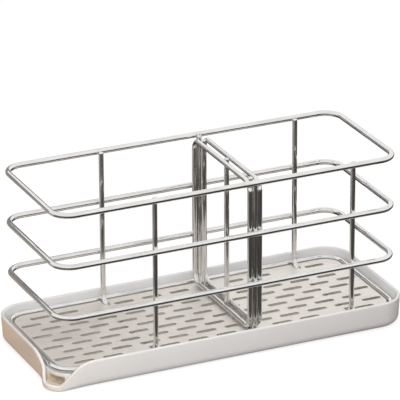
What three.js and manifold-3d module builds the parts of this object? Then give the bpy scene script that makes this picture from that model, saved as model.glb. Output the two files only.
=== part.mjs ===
// A kitchen sink caddy: a welded stainless wire rack with a lift-out divider, in a drip tray that pours.
// Millimetres, +Z up, +X along the length to the right, +Y to the back.
// The origin is under the middle of the tray, on the surface that the tray stands on.
import * as THREE from "three";
import { mergeVertices } from "three/addons/utils/BufferGeometryUtils.js";
import Module from "manifold-3d";

const wasm = await Module();
wasm.setup();

// Clearances
const WELD_GAP = 0.2; // between two pieces that are welded side by side
const SEAT_GAP = 0.3; // under a piece that rests on another
const SLIDE_GAP = 0.2; // between the divider and the upright that it slides along
const END_GAP = 0.4; // between the divider's ends and the rings
const TRAY_GAP = 0.8; // between the base ring and the tray's wall
const PLATE_GAP = 0.3; // between the drain plate and what it is fitted round

// Rings: sizes are of the wire's centreline
const RING_WIRE = 3.2;
const RING_LENGTH = 205;
const RING_WIDTH = 80;
const RING_CORNER = 10.5;
const RING_PITCH = 30.2;
const BASE_STEP_ENDS = 1.5; // how far the base ring stands out past the upper rings, at each end
const BASE_STEP_SIDES = 0.8; // and at each side
const BASE_CORNER = 12;

// Uprights: U-shaped wires that run up the front, under the plate and up the back
const POST_WIRE = 2.8;
const POST_BEND = 8;
const LEFT_POST_SET_IN = 58; // from the rings' left end to the left upright
const RIGHT_POST_SET_IN = 26.4; // from the rings' right end to the right upright
const POST_RISE = 0.6; // how far an upright's end stands above the top ring's centre

// Drain plate
const PLATE_THICKNESS = 0.7;
const SLOT_LENGTH = 12;
const SLOT_WIDTH = 3.2;
const SLOT_PITCH = 17.2;
const SLOT_ROW_PITCH = 8;
const SLOT_ROW_SHIFT = -1.4; // the rows' middle, from the plate's middle towards the back
const SLOT_EDGE = 1.3; // the least metal between a slot and the plate's edge
const SLOT_NOTCH_EDGE = 0.8; // and between a slot and the notch for an upright

// Divider: two wire frames with bars between them
const FRAME_WIRE = 2.8;
const FRAME_CORNER = 6;
const FRAME_DROP = 1; // how far the frames' top wires lie below the top ring's centre
const BAR_SET_IN = 5.6; // from the frames' ends to the outer bars
const BAR_RISE = 1; // how far the bars stand above the frames' top wires

// Drip tray
const TRAY_WALL = 2;
const TRAY_HEIGHT = 16.2;
const TRAY_DRAFT = 0.6; // how much the wall leans out over its height
const END_FLARE = 1.6; // how much more the end walls lean out
const TRAY_FLOOR = 2.2;
const TRAY_FILLET = 5;
const BASIN_DEPTH = 6.8; // from the ledge down to the floor
const BASIN_DRAFT = 0.6;
const BASIN_FILLET = 1.5;
const LEDGE_SHOW = 1.3; // how far the ledge reaches in past the base ring's centreline
const LEDGE_FILLET = 0.4; // between the wall and the ledge

// Pouring spout: the front left corner, where the rim dips and bulges out
const SPOUT_CORNER = 2; // counted anticlockwise from the back right corner, which is 0
const SPOUT_LOW = 3.4; // the rim's height there
const SPOUT_SHIFT = -4; // the spout's middle along the rim, from the corner's middle towards the left end
const SPOUT_HALF = 4.8; // half of the low stretch
const SPOUT_REACH = 23.5; // from the spout's middle to where the rim is at its full height again
const SPOUT_SWELL = 0.59; // below 1 the rim rises steeply out of the low stretch and then eases off
const SPOUT_FILLET = 1;
const SPOUT_PUSH = 3.1; // how far the rim bulges out at the spout's middle
const SPOUT_PUSH_REACH = 13.8; // from the spout's middle to where the bulge begins
const DRAIN_WIDTH = 11; // the opening through the ledge behind the spout
const DRAIN_ROOF = 1.6; // what is left of the ledge above it
const DRAIN_SILL = 0.4; // and of the basin's wall below it

// Facets
const WIRE_SIDES = 12;
const BEND_STEPS = 6;
const SLOT_STEPS = 2;
const CORNER_STEPS = 6;
const SPOUT_STEPS = 20;
const FILLET_STEPS = 3;
const LIP_STEPS = 4;

// Heights, from the tray's floor up
const ledgeZ = TRAY_FLOOR + BASIN_DEPTH;
const baseZ = ledgeZ + SEAT_GAP + RING_WIRE / 2;
const bottomRingZ = baseZ + RING_PITCH;
const middleRingZ = bottomRingZ + RING_PITCH;
const topRingZ = middleRingZ + RING_PITCH;
const plateBottom = baseZ - PLATE_THICKNESS / 2;
const plateTop = baseZ + PLATE_THICKNESS / 2;
const runZ = plateBottom - WELD_GAP - POST_WIRE / 2;
const frameBottomZ = plateTop + SEAT_GAP + FRAME_WIRE / 2;
const frameTopZ = topRingZ - FRAME_DROP;

// Places across the rack
const baseHalfLength = RING_LENGTH / 2 + BASE_STEP_ENDS;
const baseHalfWidth = RING_WIDTH / 2 + BASE_STEP_SIDES;
const insideRings = RING_WIDTH / 2 - RING_WIRE / 2;
const postY = insideRings - WELD_GAP - POST_WIRE / 2;
const frameY = insideRings - END_GAP - FRAME_WIRE / 2;
const frameOffset = POST_WIRE / 2 + SLIDE_GAP + FRAME_WIRE / 2;
const barWire = 2 * (frameOffset - FRAME_WIRE / 2 - WELD_GAP);
const leftPostX = -RING_LENGTH / 2 + LEFT_POST_SET_IN;
const rightPostX = RING_LENGTH / 2 - RIGHT_POST_SET_IN;
const centrePostX = (leftPostX + rightPostX) / 2;
const postXs = [leftPostX, centrePostX, rightPostX];

const polishedSteel = new THREE.MeshStandardMaterial({ color: 0xd8d5d1, metalness: 1, roughness: 0.15 });
const satinSteel = new THREE.MeshStandardMaterial({ color: 0xc8c3bd, metalness: 1, roughness: 0.4 });
const whitePlastic = new THREE.MeshStandardMaterial({ color: 0xf0eeea, metalness: 0, roughness: 0.3 });

// The centreline of a bent wire: straight runs between the corners, and a round bend at each corner.
// Its stations lie only at the ends and round the bends, where the wire needs them.
class BentWire extends THREE.Curve {
  constructor(corners, bendRadius, closed) {
    super();
    this.closed = closed;
    this.points = [];
    this.tangents = [];
    const count = corners.length;
    corners.forEach((corner, index) => {
      const isEnd = !closed && (index === 0 || index === count - 1);
      const before = corners[(index + count - 1) % count];
      const after = corners[(index + 1) % count];
      if (isEnd) {
        const along = index === 0 ? after.clone().sub(corner) : corner.clone().sub(before);
        this.points.push(corner.clone());
        this.tangents.push(along.normalize());
        return;
      }
      const arriving = corner.clone().sub(before).normalize();
      const leaving = after.clone().sub(corner).normalize();
      const bendStart = corner.clone().addScaledVector(arriving, -bendRadius);
      for (let step = 0; step <= BEND_STEPS; step += 1) {
        const angle = (step / BEND_STEPS) * (Math.PI / 2);
        const point = bendStart.clone();
        point.addScaledVector(arriving, bendRadius * Math.sin(angle));
        point.addScaledVector(leaving, bendRadius * (1 - Math.cos(angle)));
        this.points.push(point);
        const tangent = arriving.clone().multiplyScalar(Math.cos(angle));
        this.tangents.push(tangent.addScaledVector(leaving, Math.sin(angle)));
      }
    });
    this.spans = closed ? this.points.length : this.points.length - 1;
  }

  station(share) {
    return Math.round(share * this.spans) % this.points.length;
  }

  getPointAt(share, target = new THREE.Vector3()) {
    return target.copy(this.points[this.station(share)]);
  }

  getTangentAt(share, target = new THREE.Vector3()) {
    return target.copy(this.tangents[this.station(share)]);
  }

  // The wire itself, a solid of round section.
  solid(diameter) {
    if (this.closed) {
      return new THREE.TubeGeometry(this, this.spans, diameter / 2, WIRE_SIDES, true);
    }
    const section = new THREE.Shape().absarc(0, 0, diameter / 2, 0, 2 * Math.PI);
    // A full circle is cut into twice as many sides as it is given segments.
    const curveSegments = WIRE_SIDES / 2;
    const options = { steps: this.spans, curveSegments, extrudePath: this, bevelEnabled: false };
    return new THREE.ExtrudeGeometry(section, options);
  }
}

function piece(name, geometry, material) {
  geometry.computeVertexNormals();
  const mesh = new THREE.Mesh(geometry, material);
  mesh.name = name;
  return mesh;
}

// A closed wire ring that lies flat at the given height.
function ring(name, halfLength, halfWidth, cornerRadius, z) {
  const corners = [
    new THREE.Vector3(halfLength, halfWidth, z),
    new THREE.Vector3(-halfLength, halfWidth, z),
    new THREE.Vector3(-halfLength, -halfWidth, z),
    new THREE.Vector3(halfLength, -halfWidth, z),
  ];
  const wire = new BentWire(corners, cornerRadius, true);
  return piece(name, wire.solid(RING_WIRE), polishedSteel);
}

// One upright: up the front inside the rings, under the plate, and up the back.
function upright(name, x) {
  const topZ = topRingZ + POST_RISE;
  const corners = [
    new THREE.Vector3(x, -postY, topZ),
    new THREE.Vector3(x, -postY, runZ),
    new THREE.Vector3(x, postY, runZ),
    new THREE.Vector3(x, postY, topZ),
  ];
  const wire = new BentWire(corners, POST_BEND, false);
  return piece(name, wire.solid(POST_WIRE), polishedSteel);
}

// A slot with round ends, from its left end to its right end.
function slotHole(left, y) {
  const radius = SLOT_WIDTH / 2;
  const hole = new THREE.Path();
  hole.absarc(left + SLOT_LENGTH - radius, y, radius, -Math.PI / 2, Math.PI / 2);
  hole.absarc(left + radius, y, radius, Math.PI / 2, (3 * Math.PI) / 2);
  return hole;
}

// The plate fits inside the base ring, and its notches let the uprights' bends through.
function drainPlate() {
  const inset = RING_WIRE / 2 + PLATE_GAP;
  const halfLength = baseHalfLength - inset;
  const halfWidth = baseHalfWidth - inset;
  const radius = BASE_CORNER - inset;
  const notchHalf = POST_WIRE / 2 + PLATE_GAP;
  // The bend's upper side passes the plate's lower face this far outside of the bend's centre.
  const upperRadius = POST_BEND - POST_WIRE / 2;
  const crossing = Math.sqrt(upperRadius ** 2 - (upperRadius - WELD_GAP) ** 2);
  const notchEnd = postY - POST_BEND + crossing - PLATE_GAP;

  const outline = new THREE.Shape();
  outline.moveTo(-halfLength + radius, -halfWidth);
  for (const x of postXs) {
    outline.lineTo(x - notchHalf, -halfWidth);
    outline.lineTo(x - notchHalf, -notchEnd);
    outline.lineTo(x + notchHalf, -notchEnd);
    outline.lineTo(x + notchHalf, -halfWidth);
  }
  outline.absarc(halfLength - radius, -halfWidth + radius, radius, -Math.PI / 2, 0);
  outline.absarc(halfLength - radius, halfWidth - radius, radius, 0, Math.PI / 2);
  for (const x of [...postXs].reverse()) {
    outline.lineTo(x + notchHalf, halfWidth);
    outline.lineTo(x + notchHalf, notchEnd);
    outline.lineTo(x - notchHalf, notchEnd);
    outline.lineTo(x - notchHalf, halfWidth);
  }
  outline.absarc(-halfLength + radius, halfWidth - radius, radius, Math.PI / 2, Math.PI);
  outline.absarc(-halfLength + radius, -halfWidth + radius, radius, Math.PI, (3 * Math.PI) / 2);
  outline.closePath();

  const fullRow = Math.floor((2 * (halfLength - SLOT_EDGE) - SLOT_LENGTH) / SLOT_PITCH) + 1;
  const rowReach = halfWidth - SLOT_EDGE - SLOT_WIDTH / 2;
  const rowCount = Math.floor((rowReach - Math.abs(SLOT_ROW_SHIFT)) / SLOT_ROW_PITCH);
  for (let row = -rowCount; row <= rowCount; row += 1) {
    const y = SLOT_ROW_SHIFT + row * SLOT_ROW_PITCH;
    // Every other row has one slot fewer, so that the rows interlock.
    const slots = (row + rowCount) % 2 === 0 ? fullRow - 1 : fullRow;
    const firstLeft = -((slots - 1) * SLOT_PITCH + SLOT_LENGTH) / 2;
    const meetsNotches = Math.abs(y) + SLOT_WIDTH / 2 > notchEnd - SLOT_NOTCH_EDGE;
    for (let slot = 0; slot < slots; slot += 1) {
      const left = firstLeft + slot * SLOT_PITCH;
      const clearance = notchHalf + SLOT_NOTCH_EDGE;
      const isCut = postXs.some((x) => left < x + clearance && left + SLOT_LENGTH > x - clearance);
      if (!(meetsNotches && isCut)) {
        outline.holes.push(slotHole(left, y));
      }
    }
  }

  const options = { depth: PLATE_THICKNESS, curveSegments: SLOT_STEPS, bevelEnabled: false };
  const plate = new THREE.ExtrudeGeometry(outline, options);
  plate.translate(0, 0, plateBottom);
  return piece("drain_plate", plate, satinSteel);
}

// One of the divider's frames, which stands across the rack beside the centre upright.
function dividerFrame(name, x) {
  const corners = [
    new THREE.Vector3(x, -frameY, frameBottomZ),
    new THREE.Vector3(x, frameY, frameBottomZ),
    new THREE.Vector3(x, frameY, frameTopZ),
    new THREE.Vector3(x, -frameY, frameTopZ),
  ];
  const wire = new BentWire(corners, FRAME_CORNER, true);
  return piece(name, wire.solid(FRAME_WIRE), polishedSteel);
}

// One of the divider's bars, which stands between the frames.
function dividerBar(name, y) {
  const bottom = plateTop + SEAT_GAP;
  const length = frameTopZ + BAR_RISE - bottom;
  const bar = new THREE.CylinderGeometry(barWire / 2, barWire / 2, length, WIRE_SIDES);
  bar.rotateX(Math.PI / 2);
  bar.translate(centrePostX, y, bottom + length / 2);
  return piece(name, bar, polishedSteel);
}

// The tray's outline at its rim runs round the base ring with the same corner centres.
const rimOffset = RING_WIRE / 2 + TRAY_GAP + TRAY_WALL;
const rimRadius = BASE_CORNER + rimOffset;
const halfArc = (rimRadius * Math.PI) / 4;

// The direction from the tray's middle of one of its corners.
function cornerDiagonal(corner) {
  return Math.PI / 4 + (corner * Math.PI) / 2;
}

// A point of the tray at one station, moved in from the rim's outline and out at the tray's ends.
// A station is a corner's diagonal and a distance along the rim from there, anticlockwise.
function trayPoint(station, inset, z, flare = 0) {
  const onArc = THREE.MathUtils.clamp(station.along, -halfArc, halfArc);
  const onStraight = station.along - onArc;
  const angle = station.diagonal + onArc / rimRadius;
  const radius = rimRadius - inset;
  const centreX = Math.sign(Math.cos(station.diagonal)) * (baseHalfLength - BASE_CORNER + flare);
  const centreY = Math.sign(Math.sin(station.diagonal)) * (baseHalfWidth - BASE_CORNER);
  const x = centreX + radius * Math.cos(angle) - onStraight * Math.sin(angle);
  const y = centreY + radius * Math.sin(angle) + onStraight * Math.cos(angle);
  return new THREE.Vector3(x, y, z);
}

// How much of its full height the rim has at a distance along it from the spout's corner: 0 at the spout.
function rimShare(along) {
  const outside = Math.abs(along - SPOUT_SHIFT) - SPOUT_HALF;
  const share = THREE.MathUtils.clamp(outside / (SPOUT_REACH - SPOUT_HALF), 0, 1);
  return THREE.MathUtils.smoothstep(share ** SPOUT_SWELL, 0, 1);
}

// How far the rim bulges out at a distance along it from the spout's corner.
function rimPush(along) {
  const nearness = 1 - Math.abs(along - SPOUT_SHIFT) / SPOUT_PUSH_REACH;
  return SPOUT_PUSH * THREE.MathUtils.smoothstep(nearness, 0, 1);
}

// The stations round the tray, close together where the rim dips.
function trayStations() {
  const stations = [];
  for (let corner = 0; corner < 4; corner += 1) {
    const diagonal = cornerDiagonal(corner);
    const isSpout = corner === SPOUT_CORNER;
    const from = isSpout ? SPOUT_SHIFT - SPOUT_REACH : -halfArc;
    const to = isSpout ? SPOUT_SHIFT + SPOUT_REACH : halfArc;
    const steps = isSpout ? SPOUT_STEPS : CORNER_STEPS;
    for (let step = 0; step <= steps; step += 1) {
      const along = from + ((to - from) * step) / steps;
      const share = isSpout ? rimShare(along) : 1;
      const push = isSpout ? rimPush(along) : 0;
      stations.push({ diagonal, along, share, push });
    }
  }
  return stations;
}

// The tray's section at one station, from under the floor, up outside, over the lip and down inside.
function traySection(station) {
  const rimZ = THREE.MathUtils.lerp(SPOUT_LOW, TRAY_HEIGHT, station.share);
  const fillet = THREE.MathUtils.lerp(SPOUT_FILLET, TRAY_FILLET, station.share);
  const lip = TRAY_WALL / 2;
  const lean = (z) => TRAY_DRAFT * (1 - z / TRAY_HEIGHT);
  const section = [];
  const addOutside = (inset, z) => {
    const flare = (END_FLARE * (z - ledgeZ)) / TRAY_HEIGHT;
    section.push(trayPoint(station, inset - station.push, z, flare));
  };
  for (let step = 0; step <= FILLET_STEPS; step += 1) {
    const angle = (step / FILLET_STEPS) * (Math.PI / 2);
    addOutside(lean(fillet) + fillet * (1 - Math.sin(angle)), fillet * (1 - Math.cos(angle)));
  }
  const lipZ = rimZ - lip;
  for (let step = 0; step <= LIP_STEPS; step += 1) {
    const angle = (step / LIP_STEPS) * Math.PI;
    addOutside(lean(lipZ) + lip * (1 - Math.cos(angle)), lipZ + lip * Math.sin(angle));
  }
  const ledgeInset = rimOffset + LEDGE_SHOW;
  const basinInset = ledgeInset + BASIN_DRAFT;
  const wallInset = TRAY_WALL + lean(ledgeZ);
  // Behind the spout the wall's foot drops from the ledge to the floor, which leaves a pocket there.
  const wallFootZ = THREE.MathUtils.lerp(TRAY_FLOOR, ledgeZ + LEDGE_FILLET, station.share ** 2);
  section.push(trayPoint(station, wallInset, wallFootZ));
  section.push(trayPoint(station, wallInset + LEDGE_FILLET, ledgeZ));
  section.push(trayPoint(station, ledgeInset, ledgeZ));
  section.push(trayPoint(station, basinInset, TRAY_FLOOR + BASIN_FILLET));
  section.push(trayPoint(station, basinInset + BASIN_FILLET, TRAY_FLOOR));
  return section;
}

// The skin over a closed round of sections, with a flat underside and a flat floor.
function loft(sections, bottomCentre, topCentre) {
  const around = sections.length;
  const levels = sections[0].length;
  const positions = [...sections.flat(), bottomCentre, topCentre].flatMap((point) => point.toArray());
  const bottomIndex = around * levels;
  const topIndex = bottomIndex + 1;
  const faces = [];
  for (let here = 0; here < around; here += 1) {
    const next = (here + 1) % around;
    for (let level = 0; level < levels - 1; level += 1) {
      const a = here * levels + level;
      const b = next * levels + level;
      faces.push(a, b, b + 1, a, b + 1, a + 1);
    }
    faces.push(bottomIndex, next * levels, here * levels);
    faces.push(topIndex, (here + 1) * levels - 1, (next + 1) * levels - 1);
  }
  const geometry = new THREE.BufferGeometry();
  geometry.setAttribute("position", new THREE.Float32BufferAttribute(positions, 3));
  geometry.setIndex(faces);
  return geometry;
}

function manifoldOf(geometry) {
  const bare = new THREE.BufferGeometry();
  bare.setAttribute("position", geometry.getAttribute("position"));
  bare.setIndex(geometry.index);
  const merged = mergeVertices(bare, 1e-4);
  const vertProperties = new Float32Array(merged.getAttribute("position").array);
  const triVerts = new Uint32Array(merged.index.array);
  return new wasm.Manifold(new wasm.Mesh({ numProp: 3, vertProperties, triVerts }));
}

function geometryOf(solid) {
  const mesh = solid.getMesh();
  const geometry = new THREE.BufferGeometry();
  geometry.setAttribute("position", new THREE.Float32BufferAttribute(mesh.vertProperties, 3));
  geometry.setIndex(new THREE.Uint32BufferAttribute(mesh.triVerts, 1));
  return geometry;
}

// What is cut out of the ledge behind the spout, between two rounds about the corner's centre.
function drainOpening() {
  const sill = TRAY_FLOOR + DRAIN_SILL;
  const outer = rimRadius - TRAY_WALL;
  const inner = rimRadius - rimOffset - LEDGE_SHOW - BASIN_DRAFT - TRAY_WALL;
  const middle = cornerDiagonal(SPOUT_CORNER) + SPOUT_SHIFT / rimRadius;
  const halfAngle = DRAIN_WIDTH / 2 / outer;
  const outline = new THREE.Shape();
  outline.absarc(0, 0, outer, middle - halfAngle, middle + halfAngle, false);
  outline.absarc(0, 0, inner, middle + halfAngle, middle - halfAngle, true);
  const depth = ledgeZ - DRAIN_ROOF - sill;
  const opening = new THREE.ExtrudeGeometry(outline, { depth, bevelEnabled: false, curveSegments: CORNER_STEPS });
  opening.translate(BASE_CORNER - baseHalfLength, BASE_CORNER - baseHalfWidth, sill);
  return opening;
}

// The tray: its wall stands round the base ring, and its ledge carries it.
// Behind the spout an opening through the ledge lets the water out of the basin.
function dripTray() {
  const sections = trayStations().map(traySection);
  const floorCentre = new THREE.Vector3(0, 0, TRAY_FLOOR);
  const body = loft(sections, new THREE.Vector3(), floorCentre);
  const drained = manifoldOf(body).subtract(manifoldOf(drainOpening()));
  return piece("drip_tray", geometryOf(drained), whitePlastic);
}

const tray = new THREE.Group();
tray.name = "tray";
tray.add(dripTray());

const rack = new THREE.Group();
rack.name = "rack";
rack.add(ring("top_ring", RING_LENGTH / 2, RING_WIDTH / 2, RING_CORNER, topRingZ));
rack.add(ring("middle_ring", RING_LENGTH / 2, RING_WIDTH / 2, RING_CORNER, middleRingZ));
rack.add(ring("bottom_ring", RING_LENGTH / 2, RING_WIDTH / 2, RING_CORNER, bottomRingZ));
rack.add(ring("base_ring", baseHalfLength, baseHalfWidth, BASE_CORNER, baseZ));
rack.add(upright("left_upright", leftPostX));
rack.add(upright("centre_upright", centrePostX));
rack.add(upright("right_upright", rightPostX));
rack.add(drainPlate());

const divider = new THREE.Group();
divider.name = "divider";
divider.add(dividerFrame("divider_left_frame", centrePostX - frameOffset));
divider.add(dividerFrame("divider_right_frame", centrePostX + frameOffset));
divider.add(dividerBar("divider_front_bar", -(frameY - BAR_SET_IN)));
divider.add(dividerBar("divider_middle_bar", 0));
divider.add(dividerBar("divider_back_bar", frameY - BAR_SET_IN));

const caddy = new THREE.Group();
caddy.name = "sink_caddy";
caddy.add(tray, rack, divider);

export default caddy;
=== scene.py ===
"""Looks of a sink caddy: a bright wire rack with a lift-out divider, standing in a white drip tray.

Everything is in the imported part's frame, in metres: +X along the caddy to the right, +Y to the back and
+Z up, with the origin under the middle of the tray. The sizes in the classes are millimetres, as a maker
gives them, and the studio's are metres.
"""

import logging
import math
from dataclasses import dataclass, field
from enum import Enum

import bpy
from mathutils import Matrix, Vector


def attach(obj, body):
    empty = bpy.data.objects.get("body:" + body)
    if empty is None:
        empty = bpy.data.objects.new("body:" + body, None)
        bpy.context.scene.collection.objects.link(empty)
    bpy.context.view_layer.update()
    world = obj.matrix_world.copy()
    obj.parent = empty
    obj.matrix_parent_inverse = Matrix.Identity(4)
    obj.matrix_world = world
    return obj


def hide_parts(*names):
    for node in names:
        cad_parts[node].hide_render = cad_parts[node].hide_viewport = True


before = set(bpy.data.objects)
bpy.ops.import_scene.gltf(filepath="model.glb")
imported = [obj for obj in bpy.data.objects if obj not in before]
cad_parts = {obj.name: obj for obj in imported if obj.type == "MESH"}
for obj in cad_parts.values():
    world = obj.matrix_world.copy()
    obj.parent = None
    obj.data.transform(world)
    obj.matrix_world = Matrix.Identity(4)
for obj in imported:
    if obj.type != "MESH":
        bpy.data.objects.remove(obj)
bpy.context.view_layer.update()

LOG = logging.getLogger("sink_caddy")
MM = 0.001
# Points that lie nearer than this, in millimetres, count as one.
SAME_PLACE = 0.01
SHARP_ANGLE = math.radians(60)
RIGHT = Vector((1, 0, 0))
BACK = Vector((0, 1, 0))
UP = Vector((0, 0, 1))

Colour = tuple[float, float, float]
Place = tuple[float, float, float]
# Points of the tray's section: how far in from the rim's outline each one lies, and its height.
Section = list[tuple[float, float]]


class Body(Enum):
    """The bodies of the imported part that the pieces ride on."""

    TRAY = "tray"
    RACK = "rack"
    DIVIDER = "divider"


class Slot(Enum):
    """The record's material slots."""

    WIRE = "polished_wire"
    PLATE = "plate_steel"
    TRAY = "tray_plastic"


@dataclass(frozen=True)
class Pattern:
    """A noise: its spots in a metre, its finer layers, and how much denser it is along X, Y and Z."""

    scale: float
    detail: float
    stretch: tuple[float, float, float] = (1, 1, 1)


class Shader:
    """One material's nodes, around the Principled shader that every finish here uses."""

    # Noise seldom leaves these limits, so they count as its darkest and its lightest.
    darkest = 0.3
    lightest = 0.7

    def __init__(self, name: str) -> None:
        """Starts a material.

        Args:
            name: The material's name.
        """
        self.material = bpy.data.materials.new(name)
        self.material.use_nodes = True
        self.nodes = self.material.node_tree.nodes
        self.links = self.material.node_tree.links
        self.principled = self.nodes["Principled BSDF"]
        self.place = self.nodes.new("ShaderNodeTexCoord").outputs["Object"]

    def fix(self, socket: str, value: float | Colour) -> None:
        """Sets a value that is the same all over the surface.

        Args:
            socket: The Principled shader's socket.
            value: A number or a colour.
        """
        target = self.principled.inputs[socket]
        target.default_value = (*value, 1) if target.type == "RGBA" else value

    def noise(self, pattern: Pattern) -> bpy.types.NodeSocket:
        """Lays a noise pattern on the piece's own coordinates.

        Args:
            pattern: The pattern.

        Returns:
            Its values, from 0 to 1.
        """
        mapping = self.nodes.new("ShaderNodeMapping")
        mapping.inputs["Scale"].default_value = pattern.stretch
        self.links.new(self.place, mapping.inputs["Vector"])
        noise = self.nodes.new("ShaderNodeTexNoise")
        noise.inputs["Scale"].default_value = pattern.scale
        noise.inputs["Detail"].default_value = pattern.detail
        self.links.new(mapping.outputs["Vector"], noise.inputs["Vector"])
        return noise.outputs["Fac"]

    def mix(
        self, share: bpy.types.NodeSocket, first: bpy.types.NodeSocket, second: Colour
    ) -> bpy.types.NodeSocket:
        """Mixes one colour into another.

        Args:
            share: How much of the second colour is mixed in, from 0 to 1.
            first: The colour that it is mixed into.
            second: The colour that is mixed in.

        Returns:
            The mixed colour.
        """
        mix = self.nodes.new("ShaderNodeMix")
        mix.data_type = "RGBA"
        mix.inputs["B"].default_value = (*second, 1)
        self.links.new(share, mix.inputs["Factor"])
        self.links.new(first, mix.inputs["A"])
        return mix.outputs["Result"]

    def tint(self, noise: bpy.types.NodeSocket, dark: Colour, light: Colour) -> None:
        """Colours the surface by a noise.

        Args:
            noise: The noise.
            dark: The colour where it is dark.
            light: The colour where it is light.
        """
        ramp = self.nodes.new("ShaderNodeValToRGB")
        stops = ramp.color_ramp.elements
        for stop, position, colour in zip(stops, (self.darkest, self.lightest), (dark, light)):
            stop.position = position
            stop.color = (*colour, 1)
        self.links.new(noise, ramp.inputs["Fac"])
        self.links.new(ramp.outputs["Color"], self.principled.inputs["Base Color"])

    def paint_light_and_shade(self, attribute: str, colour: Colour) -> None:
        """Paints a colour that stands for light and shade over the coloured surface where one of the piece's
        attributes is high.

        Args:
            attribute: The attribute's name.
            colour: The colour of the painted light and shade.
        """
        mask = self.nodes.new("ShaderNodeAttribute")
        mask.attribute_name = attribute
        base = self.principled.inputs["Base Color"]
        self.links.new(self.mix(mask.outputs["Fac"], base.links[0].from_socket, colour), base)

    def roughen(self, noise: bpy.types.NodeSocket, low: float, high: float) -> None:
        """Varies the roughness by a noise.

        Args:
            noise: The noise.
            low: The roughness where it is dark.
            high: The roughness where it is light.
        """
        spread = self.nodes.new("ShaderNodeMapRange")
        spread.inputs["From Min"].default_value = self.darkest
        spread.inputs["From Max"].default_value = self.lightest
        spread.inputs["To Min"].default_value = low
        spread.inputs["To Max"].default_value = high
        self.links.new(noise, spread.inputs["Value"])
        self.links.new(spread.outputs["Result"], self.principled.inputs["Roughness"])

    def emboss(self, noise: bpy.types.NodeSocket, strength: float, depth: float) -> None:
        """Raises and sinks the surface by a noise.

        Args:
            noise: The noise.
            strength: How strongly it shows, up to 1.
            depth: How deep it is, in millimetres.
        """
        bump = self.nodes.new("ShaderNodeBump")
        bump.inputs["Strength"].default_value = strength
        bump.inputs["Distance"].default_value = depth * MM
        self.links.new(noise, bump.inputs["Height"])
        self.links.new(bump.outputs["Normal"], self.principled.inputs["Normal"])


@dataclass(frozen=True)
class PolishedWire:
    """Bright drawn wire: mirror-like steel with faint cloudy patches and fine pits."""

    dark: Colour = (0.74, 0.73, 0.715)
    light: Colour = (0.84, 0.83, 0.815)
    clouds: Pattern = Pattern(90, 3)
    least_rough: float = 0.05
    most_rough: float = 0.12
    patches: Pattern = Pattern(260, 4)
    pits: Pattern = Pattern(2400, 2)
    pit_strength: float = 0.04
    pit_depth: float = 0.02

    def material(self) -> bpy.types.Material:
        """Makes the wire's material.

        Returns:
            The material.
        """
        shader = Shader("polished_wire")
        shader.fix("Metallic", 1.0)
        shader.tint(shader.noise(self.clouds), self.dark, self.light)
        shader.roughen(shader.noise(self.patches), self.least_rough, self.most_rough)
        shader.emboss(shader.noise(self.pits), self.pit_strength, self.pit_depth)
        return shader.material


@dataclass(frozen=True)
class SatinSheet:
    """Satin steel sheet: a fine grain along the plate, and soft changes of gloss."""

    dark: Colour = (0.80, 0.764, 0.718)
    light: Colour = (0.89, 0.855, 0.81)
    grain: Pattern = Pattern(90, 6, (1, 26, 26))
    least_rough: float = 0.42
    most_rough: float = 0.54
    patches: Pattern = Pattern(55, 3)
    grain_strength: float = 0.12
    grain_depth: float = 0.04

    def material(self) -> bpy.types.Material:
        """Makes the plate's material.

        Returns:
            The material.
        """
        shader = Shader("satin_sheet")
        shader.fix("Metallic", 1.0)
        grain = shader.noise(self.grain)
        shader.tint(grain, self.dark, self.light)
        shader.roughen(shader.noise(self.patches), self.least_rough, self.most_rough)
        shader.emboss(grain, self.grain_strength, self.grain_depth)
        return shader.material


@dataclass(frozen=True)
class WhitePlastic:
    """Smooth white moulded plastic: faintly clouded, with the least orange-peel.

    It is painted lighter and warmer in the basin, as painted warm light, and painted brown in the pocket
    behind the spout, as painted shade.
    """

    dark: Colour = (0.835, 0.825, 0.815)
    light: Colour = (0.855, 0.847, 0.84)
    clouds: Pattern = Pattern(24, 3)
    # A lighter, warmer colour painted on the basin: painted warm light in its shade.
    painted_basin_light: Colour = (0.95, 0.90, 0.82)
    # A warm brown painted in the pocket behind the spout: painted shade.
    painted_pocket_shade: Colour = (0.70, 0.58, 0.46)
    refraction: float = 1.49
    least_rough: float = 0.28
    most_rough: float = 0.32
    patches: Pattern = Pattern(140, 3)
    peel: Pattern = Pattern(900, 2)
    peel_strength: float = 0.03
    peel_depth: float = 0.02

    def material(self) -> bpy.types.Material:
        """Makes the tray's material.

        Returns:
            The material.
        """
        shader = Shader("white_plastic")
        shader.fix("Metallic", 0.0)
        shader.fix("IOR", self.refraction)
        shader.tint(shader.noise(self.clouds), self.dark, self.light)
        # The basin is painted a lighter, warmer colour, as painted warm light in its shade.
        shader.paint_light_and_shade(DripTray.basin, self.painted_basin_light)
        # The pocket behind the spout is painted with a brown shade, strongest in its recess below the ledge.
        shader.paint_light_and_shade(DripTray.pocket_shade, self.painted_pocket_shade)
        shader.roughen(shader.noise(self.patches), self.least_rough, self.most_rough)
        shader.emboss(shader.noise(self.peel), self.peel_strength, self.peel_depth)
        return shader.material


def clamp(value: float) -> float:
    """Keeps a value between 0 and 1."""
    return min(max(value, 0), 1)


def ease(share: float) -> float:
    """Slows a change down at both of its ends, where the share is 0 and 1."""
    return share * share * (3 - 2 * share)


def turn_angles(steps: int, turn: float = math.pi / 2) -> list[float]:
    """The angles of a turn that is drawn in equal steps, with both of its ends."""
    return [step / steps * turn for step in range(steps + 1)]


def select_only(piece: bpy.types.Object) -> None:
    """Leaves one object selected and active.

    Args:
        piece: The object.
    """
    bpy.ops.object.select_all(action="DESELECT")
    piece.select_set(True)
    bpy.context.view_layer.objects.active = piece


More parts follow.
